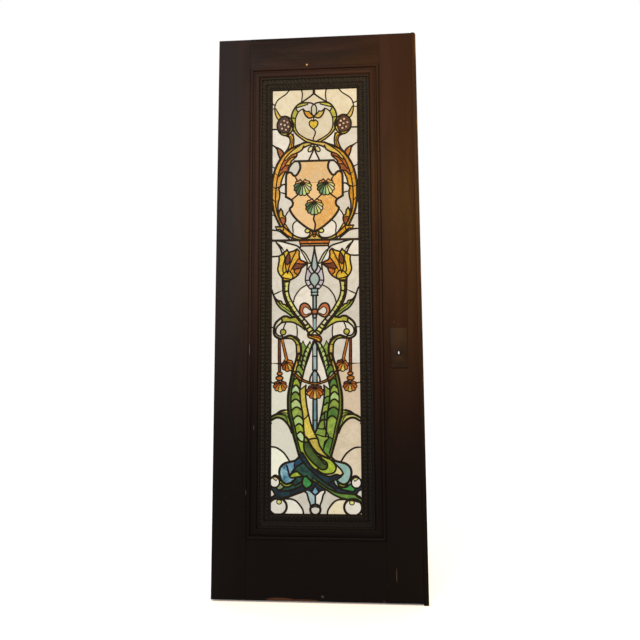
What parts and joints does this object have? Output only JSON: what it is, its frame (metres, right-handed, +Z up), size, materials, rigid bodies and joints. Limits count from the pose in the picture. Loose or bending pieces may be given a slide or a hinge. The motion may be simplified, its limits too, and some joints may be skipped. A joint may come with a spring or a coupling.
{
  "type": "stained glass door",
  "caption": "Tall dark hardwood entrance door slab with a moulded, carved frame round one light of leaded stained glass, a keyhole and hinge seats.",
  "frame": {"origin": "centre of the middle hinge seat on the hinge edge, which holds the door", "axes": "+X from the hinge edge to the lock edge, +Y to the plain back face, +Z up"},
  "size_m": [0.889, 0.0532, 2.449],
  "materials": {
    "wood": "worn satin varnish over dark stain",
    "edge_wood": "dark stain, worn pale at the arris",
    "dark_wood": "nearly black, carved, satin",
    "plate": "painted over with the door's dark stain",
    "nail": "darkened, with a rubbed crown",
    "lead": "oxidised lead with soldered joints",
    "steel": "dull painted steel",
    "glass": "opalescent sheet glass in many colours"
  },
  "bodies": {
    "root": {"hinge_stile": "wood", "lock_stile": "wood", "lock_edge_strip": "edge_wood", "top_rail": "wood", "bottom_rail": "wood", "lock_plate": "plate", "top_rail_nail": "nail", "moulding_left": "wood", "moulding_right": "wood", "moulding_bottom": "wood", "moulding_top": "wood", "carved_band_left": "dark_wood", "carved_band_right": "dark_wood", "carved_band_bottom": "dark_wood", "carved_band_top": "dark_wood", "glazing_bead_left": "wood", "glazing_bead_right": "wood", "glazing_bead_bottom": "wood", "glazing_bead_top": "wood", "panel_joint_bar": "lead", "saddle_bar_1": "steel", "saddle_bar_2": "steel", "glass_lower": "glass", "glass_upper": "glass", "cames_front_lower": "lead", "cames_front_upper": "lead", "cames_back_lower": "lead", "cames_back_upper": "lead"}
  },
  "joints": []
}
